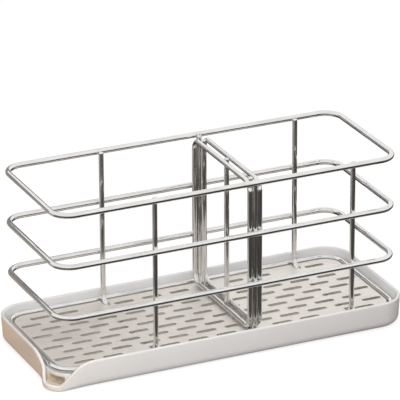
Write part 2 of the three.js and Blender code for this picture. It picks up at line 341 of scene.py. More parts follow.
def pick(piece: bpy.types.Object, wanted: list[bool]) -> None:
    """Opens a piece in edit mode with some of its vertices selected.

    Args:
        piece: The piece.
        wanted: For each vertex, whether it is selected.
    """
    select_only(piece)
    bpy.ops.object.mode_set(mode="EDIT")
    bpy.ops.mesh.select_mode(type="VERT")
    bpy.ops.mesh.select_all(action="DESELECT")
    bpy.ops.object.mode_set(mode="OBJECT")
    piece.data.vertices.foreach_set("select", wanted)
    bpy.ops.object.mode_set(mode="EDIT")


def open_all(piece: bpy.types.Object) -> None:
    """Opens a piece in edit mode with all of it selected.

    Args:
        piece: The piece.
    """
    select_only(piece)
    bpy.ops.object.mode_set(mode="EDIT")
    bpy.ops.mesh.select_mode(type="VERT")
    bpy.ops.mesh.select_all(action="SELECT")


def seal() -> None:
    """Closes the mesh that is open in edit mode, turns its faces outwards and leaves edit mode."""
    bpy.ops.mesh.select_all(action="SELECT")
    bpy.ops.mesh.remove_doubles(threshold=SAME_PLACE * MM)
    bpy.ops.mesh.fill_holes(sides=0)
    bpy.ops.mesh.select_all(action="SELECT")
    bpy.ops.mesh.normals_make_consistent(inside=False)
    bpy.ops.object.mode_set(mode="OBJECT")


def settle(piece: bpy.types.Object) -> None:
    """Puts a new object's place, turn and size into its mesh."""
    select_only(piece)
    bpy.ops.object.transform_apply(location=True, rotation=True, scale=True)


def apply_modifier(piece: bpy.types.Object, kind: str, **settings: object) -> None:
    """Adds a modifier to a piece and applies it.

    Args:
        piece: The piece.
        kind: The modifier's type.
        **settings: Its settings.
    """
    select_only(piece)
    modifier = piece.modifiers.new(kind.lower(), kind)
    for setting, value in settings.items():
        setattr(modifier, setting, value)
    bpy.ops.object.modifier_apply(modifier=modifier.name)


def cut(piece: bpy.types.Object, cutter: bpy.types.Object) -> None:
    """Cuts one object out of another and throws the cutter away.

    Args:
        piece: The piece that is cut.
        cutter: What is taken out of it.
    """
    apply_modifier(piece, "BOOLEAN", operation="DIFFERENCE", solver="EXACT", object=cutter)
    bpy.data.objects.remove(cutter)


def break_edges(piece: bpy.types.Object, width: float, segments: int) -> None:
    """Rounds the sharp edges of a piece.

    Args:
        piece: The piece.
        width: How far the round reaches from the edge, in millimetres.
        segments: In how many steps it is drawn.
    """
    limits = {"limit_method": "ANGLE", "angle_limit": SHARP_ANGLE}
    apply_modifier(piece, "BEVEL", width=width * MM, segments=segments, **limits)


def smooth(piece: bpy.types.Object, degrees: float) -> None:
    """Shades a piece smooth, apart from edges sharper than an angle."""
    select_only(piece)
    bpy.ops.object.shade_smooth_by_angle(angle=math.radians(degrees))


def copy_at(piece: bpy.types.Object, place: Vector) -> bpy.types.Object:
    """Copies a piece that lies at the origin.

    Args:
        piece: The piece.
        place: Where the copy lies.

    Returns:
        The copy, with its own mesh and its place in it.
    """
    copy = piece.copy()
    copy.data = piece.data.copy()
    copy.location = place
    bpy.context.collection.objects.link(copy)
    settle(copy)
    return copy


def join(pieces: list[bpy.types.Object]) -> bpy.types.Object:
    """Joins several objects into the first.

    Args:
        pieces: The objects.

    Returns:
        The joined object.
    """
    select_only(pieces[0])
    for piece in pieces[1:]:
        piece.select_set(True)
    bpy.ops.object.join()
    return pieces[0]


def hand_over(
    piece: bpy.types.Object,
    name: str,
    body: Body,
    slot: Slot,
    material: bpy.types.Material,
    *nodes: str,
) -> None:
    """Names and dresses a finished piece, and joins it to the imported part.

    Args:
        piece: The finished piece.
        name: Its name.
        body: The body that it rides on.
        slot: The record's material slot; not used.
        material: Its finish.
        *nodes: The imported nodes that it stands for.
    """
    piece.name = name
    piece.data.name = name
    piece.data.materials.clear()
    piece.data.materials.append(material)
    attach(piece, body.value)
    if nodes:
        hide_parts(*nodes)
    LOG.info("%s: %d faces on %s", name, len(piece.data.polygons), body.value)


class Sweep:
    """A section that is drawn along a path in edit mode.

    The section's far end is always what is selected: each straight run extrudes it, and each bend spins it.
    """

    def __init__(self, piece: bpy.types.Object, tip: Vector, heading: Vector) -> None:
        """Starts a sweep with all of a piece's section selected.

        Args:
            piece: The object that holds only the section.
            tip: The path's first point.
            heading: The direction that the path starts in.
        """
        self.piece = piece
        self.tip = tip.copy()
        self.heading = heading.normalized()
        open_all(piece)

    def run(self, length: float, steps: int = 1) -> None:
        """Draws the section straight on.

        Args:
            length: How far, in metres.
            steps: In how many steps.
        """
        stride = self.heading * (length / steps)
        for _ in range(steps):
            bpy.ops.mesh.extrude_region_move(TRANSFORM_OT_translate={"value": stride})
            self.tip += stride

    def bend(self, towards: Vector, radius: float, steps: int = 12) -> None:
        """Draws the section round a quarter turn.

        Args:
            towards: The direction that the path turns to.
            radius: The bend's radius on the path, in metres.
            steps: In how many steps.
        """
        centre = self.tip + towards * radius
        axis = self.heading.cross(towards)
        # The spin operator turns the other way round its axis, so a quarter turn onwards is negative.
        bpy.ops.mesh.spin(steps=steps, angle=-math.pi / 2, center=centre, axis=axis)
        self.tip = centre + self.heading * radius
        self.heading = towards.copy()

    def close(self) -> bpy.types.Object:
        """Joins the sweep's end to its start where they meet, or fills both ends where they don't.

        Returns:
            The finished piece.
        """
        seal()
        return self.piece


@dataclass(frozen=True)
class Wire:
    """A round wire of one thickness."""

    diameter: float
    sides: int = 24
    crease: float = 32
    end_round: float = 0.2
    end_steps: int = 3

    def start(self, tip: Vector, heading: Vector) -> Sweep:
        """Starts a wire with its round section.

        Args:
            tip: The wire's first point.
            heading: The direction that it starts in.

        Returns:
            The sweep that draws the wire.
        """
        turn = heading.to_track_quat("Z", "Y").to_euler()
        radius = self.diameter / 2 * MM
        bpy.ops.mesh.primitive_circle_add(vertices=self.sides, radius=radius, location=tip, rotation=turn)
        section = bpy.context.active_object
        settle(section)
        return Sweep(section, tip, heading)

    def loop(self, middle: Vector, along: Vector, across: Vector, corner: float) -> bpy.types.Object:
        """Bends a closed rectangle with round corners.

        Args:
            middle: The rectangle's middle.
            along: From the middle to the end of its length.
            across: From the middle to the end of its width.
            corner: The corners' radius, in metres.

        Returns:
            The wire.
        """
        ahead = along.normalized()
        aside = across.normalized()
        half_run = along.length - corner
        side_run = 2 * (across.length - corner)
        sweep = self.start(middle - across, ahead)
        sweep.run(half_run)
        sweep.bend(aside, corner)
        sweep.run(side_run)
        sweep.bend(-ahead, corner)
        sweep.run(2 * half_run)
        sweep.bend(-aside, corner)
        sweep.run(side_run)
        sweep.bend(ahead, corner)
        sweep.run(half_run)
        wire = sweep.close()
        smooth(wire, self.crease)
        return wire

    def round_ends(self, wire: bpy.types.Object) -> None:
        """Breaks the edges of an open wire's cut ends."""
        break_edges(wire, self.diameter * self.end_round, self.end_steps)
        smooth(wire, self.crease)


@dataclass(frozen=True)
class WeldBeads:
    """The small beads of metal where two wires are welded side by side.

    Each press of the waist is given by how much of the height it reaches and how much of the length it keeps.
    """

    length: float = 3.2
    depth: float = 1.5
    height: float = 3.4
    waist: tuple[tuple[float, float], ...] = ((0.40, 0.92), (0.30, 0.90), (0.19, 0.93))
    segments: int = 20
    rings: int = 12
    crease: float = 60

    def bead(self) -> bpy.types.Object:
        """Models one bead at the origin: a ball drawn out to its size and pressed in at its waist.

        Returns:
            The bead.
        """
        bpy.ops.mesh.primitive_uv_sphere_add(segments=self.segments, ring_count=self.rings, radius=0.5 * MM)
        bead = bpy.context.active_object
        bead.scale = (self.length, self.depth, self.height)
        settle(bead)
        for reach, kept in self.waist:
            pick(bead, [abs(vertex.co.z) < reach * self.height * MM for vertex in bead.data.vertices])
            bpy.ops.transform.resize(value=(kept, 1, 1), center_override=(0, 0, 0))
            bpy.ops.object.mode_set(mode="OBJECT")
        return bead

    def build(self, places: list[Vector]) -> bpy.types.Object:
        """Lays a bead at every weld.

        Args:
            places: The middles of the welds, in metres.

        Returns:
            All the beads in one object.
        """
        first = self.bead()
        beads = [copy_at(first, place) for place in places]
        bpy.data.objects.remove(first)
        joined = join(beads)
        smooth(joined, self.crease)
        return joined


@dataclass(frozen=True)
class RackSizes:
    """The wire rack's sizes, along the wires' centrelines."""

    ring_wire: float = 3.2
    ring_length: float = 205
    ring_width: float = 80
    ring_corner: float = 10.5
    ring_pitch: float = 30.2
    ring_names: tuple[str, ...] = ("bottom_ring", "middle_ring", "top_ring")
    base_length: float = 208
    base_width: float = 81.6
    base_corner: float = 12
    base_height: float = 10.9
    post_wire: float = 2.8
    post_bend: float = 8
    post_rise: float = 0.6
    post_xs: tuple[float, ...] = (-44.5, 15.8, 76.1)
    post_names: tuple[str, ...] = ("left_upright", "centre_upright", "right_upright")
    weld_gap: float = 0.2

    def ring_heights(self) -> list[float]:
        """The heights of the rings above the base ring, from the bottom up."""
        return [self.base_height + (step + 1) * self.ring_pitch for step in range(len(self.ring_names))]

    def post_y(self) -> float:
        """How far the uprights' legs stand from the rack's middle."""
        return self.ring_width / 2 - self.ring_wire / 2 - self.weld_gap - self.post_wire / 2


@dataclass
class DrainPlate:
    """The slotted sheet inside the base ring."""

    rack: RackSizes = field(default_factory=RackSizes)
    gap: float = 0.3
    end_gap: float = 0.7
    side_gap: float = 1.7
    corner: float = 9.2
    thickness: float = 0.7
    slot_length: float = 12
    slot_width: float = 3.2
    slot_pitch: float = 17.2
    long_row: int = 12
    row_pitch: float = 8
    row_shift: float = -1.4
    rows_each_side: int = 4
    notch_end: float = 30.1
    notch_edge: float = 0.8
    edge_break: float = 0.12
    edge_steps: int = 2
    corner_steps: int = 14
    slot_sides: int = 20
    crease: float = 19

    def notch_half(self) -> float:
        """Half of the width of the notches that let the uprights through."""
        return self.rack.post_wire / 2 + self.gap

    def punch_depth(self) -> float:
        """The height of the punches, which pass well through the sheet."""
        return 6 * self.thickness

    def slot_middles(self) -> list[tuple[float, float]]:
        """The middles of all the slots, apart from those that a notch would break into.

        Returns:
            Each slot's places along and across the plate.
        """
        middles = []
        for row in range(-self.rows_each_side, self.rows_each_side + 1):
            y = self.row_shift + row * self.row_pitch
            count = self.long_row - (row + self.rows_each_side + 1) % 2
            at_notches = abs(y) + self.slot_width / 2 > self.notch_end - self.notch_edge
            reach = self.slot_length / 2 + self.notch_half() + self.notch_edge
            for number in range(count):
                x = (number - (count - 1) / 2) * self.slot_pitch
                if not (at_notches and any(abs(x - post) < reach for post in self.rack.post_xs)):
                    middles.append((x, y))
        return middles

    def blank(self) -> bpy.types.Object:
        """Makes the sheet with its round corners.

        Returns:
            The uncut sheet.
        """
        length = self.rack.base_length - self.rack.ring_wire - 2 * self.end_gap
        width = self.rack.base_width - self.rack.ring_wire - 2 * self.side_gap
        bottom = self.rack.base_height - self.thickness / 2
        bpy.ops.mesh.primitive_plane_add(size=MM, location=(0, 0, bottom * MM))
        sheet = bpy.context.active_object
        sheet.scale = (length, width, 1)
        settle(sheet)
        open_all(sheet)
        bpy.ops.mesh.bevel(offset=self.corner * MM, segments=self.corner_steps, affect="VERTICES")
        bpy.ops.mesh.select_all(action="SELECT")
        bpy.ops.mesh.extrude_region_move(TRANSFORM_OT_translate={"value": UP * self.thickness * MM})
        seal()
        return sheet

    def slot_punch(self) -> bpy.types.Object:
        """Makes the punch of one slot: a rod whose halves are drawn apart.

        Returns:
            The punch, at the origin.
        """
        radius = self.slot_width / 2 * MM
        depth = self.punch_depth() * MM
        bpy.ops.mesh.primitive_cylinder_add(vertices=self.slot_sides, radius=radius, depth=depth)
        punch = bpy.context.active_object
        draw = (self.slot_length - self.slot_width) / 2 * MM
        for side in (-1, 1):
            pick(punch, [side * vertex.co.x > SAME_PLACE * MM for vertex in punch.data.vertices])
            bpy.ops.transform.translate(value=(side * draw, 0, 0))
            bpy.ops.object.mode_set(mode="OBJECT")
        return punch

    def notch_punch(self, x: float, side: int) -> bpy.types.Object:
        """Makes the punch of one notch.

        Args:
            x: The upright's place along the rack.
            side: -1 at the front, 1 at the back.

        Returns:
            The punch, in place.
        """
        outside = self.rack.base_width / 2
        bpy.ops.mesh.primitive_cube_add(size=MM)
        punch = bpy.context.active_object
        punch.scale = (2 * self.notch_half(), outside - self.notch_end, self.punch_depth())
        punch.location = (x * MM, side * (outside + self.notch_end) / 2 * MM, self.rack.base_height * MM)
        settle(punch)
        return punch

    def build(self) -> bpy.types.Object:
        """Makes the plate: the sheet, with every slot and notch punched out and the edges broken.

        Returns:
            The plate.
        """
        sheet = self.blank()
        first = self.slot_punch()
        middles = [Vector((x, y, self.rack.base_height)) * MM for x, y in self.slot_middles()]
        punches = [copy_at(first, middle) for middle in middles]
        bpy.data.objects.remove(first)
        for x in self.rack.post_xs:
            punches += [self.notch_punch(x, side) for side in (-1, 1)]
        cut(sheet, join(punches))
        break_edges(sheet, self.edge_break, self.edge_steps)
        # Only round ends and corners are smoothed, so that the flat faces stay flat up to their edges.
        smooth(sheet, self.crease)
        return sheet


@dataclass
class WireRack:
    """The welded rack: the rings, the uprights, the drain plate and the weld beads."""

    sizes: RackSizes = field(default_factory=RackSizes)

    def ring(self, height: float, length: float, width: float, corner: float) -> bpy.types.Object:
        """Bends one of the rings.

        Args:
            height: Its height.
            length: Its length.
            width: Its width.
            corner: The radius of its corners.

        Returns:
            The ring.
        """
        along = RIGHT * (length / 2 * MM)
        across = BACK * (width / 2 * MM)
        return Wire(self.sizes.ring_wire).loop(UP * (height * MM), along, across, corner * MM)

    def upright(self, x: float, run_height: float) -> bpy.types.Object:
        """Bends one upright: down the front, under the plate and up the back.

        Args:
            x: Its place along the rack.
            run_height: The height of its run under the plate.

        Returns:
            The upright.
        """
        sizes = self.sizes
        wire = Wire(sizes.post_wire)
        top = sizes.ring_heights()[-1] + sizes.post_rise
        leg = (top - run_height - sizes.post_bend) * MM
        bend = sizes.post_bend * MM
        sweep = wire.start(Vector((x, -sizes.post_y(), top)) * MM, -UP)
        sweep.run(leg)
        sweep.bend(BACK, bend)
        sweep.run(2 * (sizes.post_y() - sizes.post_bend) * MM)
        sweep.bend(UP, bend)
        sweep.run(leg)
        upright = sweep.close()
        wire.round_ends(upright)
        return upright

    def weld_places(self) -> list[Vector]:
        """Where the uprights touch the rings.

        Returns:
            The middles of the welds, in metres.
        """
        sizes = self.sizes
        touch = sizes.ring_width / 2 - sizes.ring_wire / 2 - sizes.weld_gap / 2
        heights = sizes.ring_heights()
        return [Vector((x, y, z)) * MM for x in sizes.post_xs for y in (-touch, touch) for z in heights]

    def build(self, wire: bpy.types.Material, sheet: bpy.types.Material) -> None:
        """Builds and dresses the rack.

        Args:
            wire: The wires' finish.
            sheet: The plate's finish.
        """
        sizes = self.sizes
        for height, name in zip(sizes.ring_heights(), sizes.ring_names):
            ring = self.ring(height, sizes.ring_length, sizes.ring_width, sizes.ring_corner)
            hand_over(ring, f"{name}_wire", Body.RACK, Slot.WIRE, wire, name)
        base = self.ring(sizes.base_height, sizes.base_length, sizes.base_width, sizes.base_corner)
        hand_over(base, "base_ring_wire", Body.RACK, Slot.WIRE, wire, "base_ring")
        plate = DrainPlate(sizes)
        run_height = sizes.base_height - plate.thickness / 2 - sizes.weld_gap - sizes.post_wire / 2
        for x, name in zip(sizes.post_xs, sizes.post_names):
            hand_over(self.upright(x, run_height), f"{name}_wire", Body.RACK, Slot.WIRE, wire, name)
        hand_over(plate.build(), "slotted_plate", Body.RACK, Slot.PLATE, sheet, "drain_plate")
        beads = WeldBeads().build(self.weld_places())
        hand_over(beads, "rack_weld_beads", Body.RACK, Slot.WIRE, wire)


@dataclass
class Divider:
    """The lift-out divider: two wire frames astride the centre upright, with bars between them."""

    rack: RackSizes = field(default_factory=RackSizes)
    wire: float = 2.8
    bar_wire: float = 2.8
    offset: float = 3.0
    half_width: float = 36.6
    bottom: float = 12.95
    drop: float = 1
    corner: float = 6
    bar_y: float = 31
    bar_bottom: float = 11.55
    bar_rise: float = 1

    def middle_x(self) -> float:
        """The divider's place along the rack, which is the centre upright's."""
        return self.rack.post_xs[1]

    def top(self) -> float:
        """The height of the frames' top wires."""
        return self.rack.ring_heights()[-1] - self.drop

    def side_frame(self, side: int) -> bpy.types.Object:
        """Bends one of the frames.

        Args:
            side: -1 on the left of the upright, 1 on the right.

        Returns:
            The frame.
        """
        x = self.middle_x() + side * self.offset
        middle = Vector((x, 0, (self.top() + self.bottom) / 2)) * MM
        along = BACK * (self.half_width * MM)
        across = UP * ((self.top() - self.bottom) / 2 * MM)
        return Wire(self.wire).loop(middle, along, across, self.corner * MM)

    def bar(self, y: float) -> bpy.types.Object:
        """Cuts one of the bars.

        Args:
            y: Its place across the rack.

        Returns:
            The bar.
        """
        wire = Wire(self.bar_wire)
        sweep = wire.start(Vector((self.middle_x(), y, self.bar_bottom)) * MM, UP)
        sweep.run((self.top() + self.bar_rise - self.bar_bottom) * MM)
        bar = sweep.close()
        wire.round_ends(bar)
        return bar

    def build(self, wire: bpy.types.Material) -> None:
        """Builds and dresses the divider.

        Args:
            wire: The wires' finish.
        """
        for side, name in ((-1, "divider_left_frame"), (1, "divider_right_frame")):
            hand_over(self.side_frame(side), f"{name}_wire", Body.DIVIDER, Slot.WIRE, wire, name)
        for row, name in ((-1, "divider_front_bar"), (0, "divider_middle_bar"), (1, "divider_back_bar")):
            hand_over(self.bar(row * self.bar_y), f"{name}_wire", Body.DIVIDER, Slot.WIRE, wire, name)


@dataclass
class DripTray:
    """The white tray: a wall, a ledge that carries the base ring, a basin and a pouring corner.

    Distances along the rim start at the middle of the spout's corner and grow towards the front. The finish
    paints light and shade on the tray by two of its mesh's attributes, which basin and pocket_shade name:
    warm light painted in the basin, and a brown shade painted in the pocket behind the spout.
    """

    rack: RackSizes = field(default_factory=RackSizes)
    clearance: float = 0.8
    wall: float = 2
    height: float = 16.2
    draft: float = 0.6
    end_flare: float = 1.6
    floor: float = 2.2
    fillet: float = 5
    ledge: float = 9
    ledge_show: float = 1.3
    ledge_round: float = 0.4
    basin_draft: float = 0.6
    basin_fillet: float = 1.5
    fillet_steps: int = 8
    lip_steps: int = 12
    ledge_steps: int = 4
    basin_steps: int = 5
    corner_steps: int = 20
    spout_bearing: float = 225
    spout_low: float = 3.4
    spout_shift: float = -4
    spout_half: float = 4.8
    spout_reach: float = 23.5
    spout_swell: float = 0.59
    spout_fillet: float = 1
    spout_push: float = 3.1
    spout_push_reach: float = 13.8
    spout_corner_steps: int = 40
    spout_run: float = 20
    spout_run_steps: int = 16
    drain_width: float = 11
    drain_roof: float = 1.6
    drain_sill: float = 0.4
    drain_round: float = 0.9
    drain_round_steps: int = 4
    drain_steps: int = 10
    crease: float = 40
    # The attribute, and its margin, that marks the basin where warm light is painted.
    basin: str = "basin"
    basin_margin: float = 0.1
    # Where the brown shade is painted in the pocket behind the spout: how far in from the wall it starts, how
    # far along and in from the rim it reaches, and how it fades below the ledge.
    pocket_shade: str = "pocket_shade"
    pocket_shade_start: float = 0.6
    pocket_shade_reach: float = 13
    pocket_shade_depth: float = 8
    pocket_shade_drop: float = 0.6
    pocket_shade_fade: float = 2

    def rim_offset(self) -> float:
        """From the base ring's centreline out to the tray's outline at the rim."""
        return self.rack.ring_wire / 2 + self.clearance + self.wall

    def rim_radius(self) -> float:
        """The corner radius of the outline at the rim."""
        return self.rack.base_corner + self.rim_offset()

    def ledge_edge(self) -> float:
        """From the outline at the rim in to the ledge's inner edge."""
        return self.rim_offset() + self.ledge_show

    def core(self) -> Vector:
        """The centre of the back right corner, which the other corners mirror."""
        corner = self.rack.base_corner
        return Vector((self.rack.base_length / 2 - corner, self.rack.base_width / 2 - corner, 0))

    def nearest_core(self, x: float, y: float) -> Vector:
        """The nearest point of the rectangle between the corners' centres."""
        core = self.core()
        return Vector((min(max(x, -core.x), core.x), min(max(y, -core.y), core.y), 0))

    def lean(self, z: float) -> float:
        """How far in the wall stands at a height, from its outline at the rim."""
        return self.draft * (1 - z / self.height)

    def outside(self, share: float, push: float) -> Section:
        """The outer half of the section, from under the floor up and over the lip.

        Args:
            share: How much of its full height the rim has, from 0 at the spout to 1.
            push: How far the rim bulges out.

        Returns:
            Each point's distance in from the rim's outline, and its height.
        """
        fillet = self.spout_fillet + (self.fillet - self.spout_fillet) * share
        lip = self.wall / 2
        lip_z = self.spout_low + (self.height - self.spout_low) * share - lip
        points = []
        for angle in turn_angles(self.fillet_steps):
            inset = self.lean(fillet) + fillet * (1 - math.sin(angle))
            points.append((inset, fillet * (1 - math.cos(angle))))
        for angle in turn_angles(self.lip_steps, math.pi):
            inset = self.lean(lip_z) + lip * (1 - math.cos(angle))
            points.append((inset, lip_z + lip * math.sin(angle)))
        return [(inset - push, z) for inset, z in points]

    def wall_foot(self, share: float) -> Section:
        """Where the wall meets the ledge, or, behind the spout, the pocket below the ledge's outer face.

        Args:
            share: How much of its full height the rim has.

        Returns:
            Each point's distance in from the rim's outline, and its height.
        """
        foot = self.wall + self.lean(self.ledge)
        low, high, turn = self.floor, self.ledge, self.ledge_round
        pocket = [(foot - turn, low), (foot - turn / 4, low + turn / 4), (foot, low + turn)]
        pocket += [(foot, high - turn), (foot + turn / 4, high - turn / 4), (foot + turn, high)]
        points = []
        for (inset, z), angle in zip(pocket, turn_angles(len(pocket) - 1)):
            plain_inset = foot + turn * (1 - math.cos(angle))
            plain_z = high + turn * (1 - math.sin(angle))
            points.append((inset + (plain_inset - inset) * share**2, z + (plain_z - z) * share**2))
        return points

    def inside(self) -> Section:
        """The inner part of the section, over the ledge and down to the floor.

        Returns:
            Each point's distance in from the rim's outline, and its height.
        """
        basin_edge = self.ledge_edge() + self.basin_draft
        points = []
        for angle in turn_angles(self.ledge_steps):
            inset = self.ledge_edge() - self.ledge_round * (1 - math.sin(angle))
            points.append((inset, self.ledge - self.ledge_round * (1 - math.cos(angle))))
        for angle in turn_angles(self.basin_steps):
            inset = basin_edge + self.basin_fillet * (1 - math.cos(angle))
            points.append((inset, self.floor + self.basin_fillet * (1 - math.sin(angle))))
        return points

    def section(self, share: float = 1, push: float = 0) -> Section:
        """The whole section, from under the floor, up outside, over the lip and down inside.

        Args:
            share: How much of its full height the rim has.
            push: How far the rim bulges out.

        Returns:
            Each point's distance in from the rim's outline, and its height.
        """
        return self.outside(share, push) + self.wall_foot(share) + self.inside()

    def rim_share(self, along: float) -> float:
        """How much of its full height the rim has near the spout.

        Args:
            along: The distance along the rim from the corner's middle, towards the front.

        Returns:
            0 at the spout, 1 where the rim is at its full height.
        """
        outside = abs(along - self.spout_shift) - self.spout_half
        return ease(clamp(outside / (self.spout_reach - self.spout_half)) ** self.spout_swell)

    def rim_push(self, along: float) -> float:
        """How far the rim bulges out near the spout.

        Args:
            along: The distance along the rim from the corner's middle, towards the front.

        Returns:
            The distance, in millimetres.
        """
        return self.spout_push * ease(clamp(1 - abs(along - self.spout_shift) / self.spout_push_reach))

    def along_rim(self, out: Vector) -> float:
        """How far along the rim a point lies from the middle of the spout's corner.

        Args:
            out: The point, from the centre of the spout's corner.

        Returns:
            The distance, towards the front.
        """
        half_arc = self.rim_radius() * math.pi / 4
        if out.x < 0 and out.y < 0:
            return self.rim_radius() * (math.atan2(-out.y, -out.x) - math.pi / 4)
        return half_arc + out.x if out.y < 0 else -half_arc - out.y

    def draw_section(self, start: Vector) -> bpy.types.Object:
        """Draws the section as a line, point by point.

        Args:
            start: The point of the base ring's centreline that the section lies over.

        Returns:
            The section.
        """
        places = [start + Vector((0, self.rim_offset() - inset, z)) * MM for inset, z in self.section()]
        bpy.ops.mesh.primitive_plane_add(size=MM, location=places[0])
        section = bpy.context.active_object
        settle(section)
        open_all(section)
        bpy.ops.mesh.merge(type="CENTER")
        for here, there in zip(places, places[1:]):
            bpy.ops.mesh.extrude_region_move(TRANSFORM_OT_translate={"value": there - here})
        bpy.ops.object.mode_set(mode="OBJECT")
        return section

    def sweep_section(self) -> bpy.types.Object:
        """Draws the section round the tray, with its end walls still upright and no spout.

        Returns:
            The tray's body.
        """
        start = BACK * (self.rack.base_width / 2 * MM)
        corner = self.rack.base_corner * MM
        length = 2 * self.core().x * MM
        width = 2 * self.core().y * MM
        spout = self.spout_run * MM
        sweep = Sweep(self.draw_section(start), start, -RIGHT)
        sweep.run(length / 2)
        sweep.bend(-BACK, corner, self.corner_steps)
        sweep.run(width - spout)
        sweep.run(spout, self.spout_run_steps)
        sweep.bend(RIGHT, corner, self.spout_corner_steps)
        sweep.run(spout, self.spout_run_steps)
        sweep.run(length - spout)
        sweep.bend(BACK, corner, self.corner_steps)
        sweep.run(width)
        sweep.bend(-RIGHT, corner, self.corner_steps)
        sweep.run(length / 2)
        return sweep.close()

    def press_shape(self, body: bpy.types.Object) -> None:
        """Leans the end walls out and presses the spout into the rim.

        No operator presses such a shape, so each point is moved from the plain section to its own.

        Args:
            body: The tray's body, straight from the sweep.
        """
        plain = self.section()
        outer_points = len(self.outside(1, 0))
        core = self.core()
        for vertex in body.data.vertices:
            x, y, z = vertex.co / MM
            nearest = self.nearest_core(x, y)
            out = Vector((x, y, 0)) - nearest
            inset = self.rim_radius() - out.length
            step = min(range(len(plain)), key=lambda i: math.hypot(plain[i][0] - inset, plain[i][1] - z))
            along = self.along_rim(Vector((x, y, 0)) + core)
            at_spout = x < 0 and y < core.y
            share = self.rim_share(along) if at_spout else 1
            push = self.rim_push(along) if at_spout else 0
            new_inset, new_z = self.section(share, push)[step]
            place = nearest + out.normalized() * (self.rim_radius() - new_inset)
            if step < outer_points and abs(x) >= core.x - SAME_PLACE:
                place.x += math.copysign(self.end_flare * (new_z - self.ledge) / self.height, x)
            place.z = new_z
            vertex.co = place * MM

    def line_floor(self, body: bpy.types.Object) -> None:
        """Draws a line round the basin's floor, so that the shade painted at the pocket's edge stays near the
        edge.

        Args:
            body: The tray.
        """
        floor = max(body.data.polygons, key=lambda face: face.area * face.normal.z)
        edge = set(floor.vertices)
        pick(body, [vertex.index in edge for vertex in body.data.vertices])
        bpy.ops.mesh.select_mode(type="FACE")
        bpy.ops.mesh.inset(thickness=self.pocket_shade_depth * MM)
        bpy.ops.object.mode_set(mode="OBJECT")

    def mark_basin_light(self, body: bpy.types.Object) -> None:
        """Marks the basin below the ledge, where warm light is painted as a lighter, warmer colour.

        Args:
            body: The tray, with its drain opening.
        """
        lowest = self.floor - self.basin_margin
        highest = self.ledge - self.ledge_round - self.basin_margin
        mask = body.data.attributes.new(self.basin, "FLOAT", "POINT")
        for vertex, mark in zip(body.data.vertices, mask.data):
            x, y, z = vertex.co / MM
            inset = self.rim_radius() - (Vector((x, y, 0)) - self.nearest_core(x, y)).length
            mark.value = inset > self.ledge_edge() and lowest < z < highest

    def mark_pocket_shade(self, body: bpy.types.Object) -> None:
        """Marks the pocket behind the spout, where a brown shade is painted below the ledge.

        Args:
            body: The tray, with its drain opening.
        """
        core = self.core()
        mask = body.data.attributes.new(self.pocket_shade, "FLOAT", "POINT")
        for vertex, mark in zip(body.data.vertices, mask.data):
            x, y, z = vertex.co / MM
            nearest = self.nearest_core(x, y)
            along = self.along_rim(Vector((x, y, 0)) + core)
            inset = self.rim_radius() + self.rim_push(along) - (Vector((x, y, 0)) - nearest).length
            inside = clamp(2 * (inset / self.wall - self.pocket_shade_start))
            shallow = clamp(2 - inset / self.pocket_shade_depth)
            below = clamp((self.ledge - self.pocket_shade_drop - z) / self.pocket_shade_fade)
            near = clamp(2 - 2 * abs(along - self.spout_shift) / self.pocket_shade_reach)
            mark.value = inside * shallow * below * near

    def drain_cutter(self) -> bpy.types.Object:
        """Makes the block that cuts the drain opening through the ledge behind the spout.

        Returns:
            The cutter, in place.
        """
        sill = self.floor + self.drain_sill
        height = self.ledge - self.drain_roof - sill
        outer = self.rim_radius() - self.wall
        inner = self.rim_radius() - self.ledge_edge() - self.basin_draft - self.wall
        turn = self.drain_width / outer
        first = math.radians(self.spout_bearing) + self.spout_shift / self.rim_radius() - turn / 2
        out = Vector((math.cos(first), math.sin(first), 0))
        middle = out * ((outer + inner) / 2) - self.core() + UP * (sill + height / 2)
        bpy.ops.mesh.primitive_plane_add(size=MM, rotation=(math.pi / 2, 0, first), location=middle * MM)
        cutter = bpy.context.active_object
        cutter.scale = (outer - inner, height, 1)
        settle(cutter)
        open_all(cutter)
        bpy.ops.mesh.spin(steps=self.drain_steps, angle=-turn, center=-self.core() * MM, axis=UP)
        seal()
        break_edges(cutter, self.drain_round, self.drain_round_steps)
        return cutter

    def build(self, plastic: bpy.types.Material) -> None:
        """Builds and dresses the tray.

        Args:
            plastic: The tray's finish.
        """
        body = self.sweep_section()
        self.press_shape(body)
        self.line_floor(body)
        cut(body, self.drain_cutter())
        self.mark_basin_light(body)
        self.mark_pocket_shade(body)
        smooth(body, self.crease)
        hand_over(body, "moulded_tray", Body.TRAY, Slot.TRAY, plastic, "drip_tray")


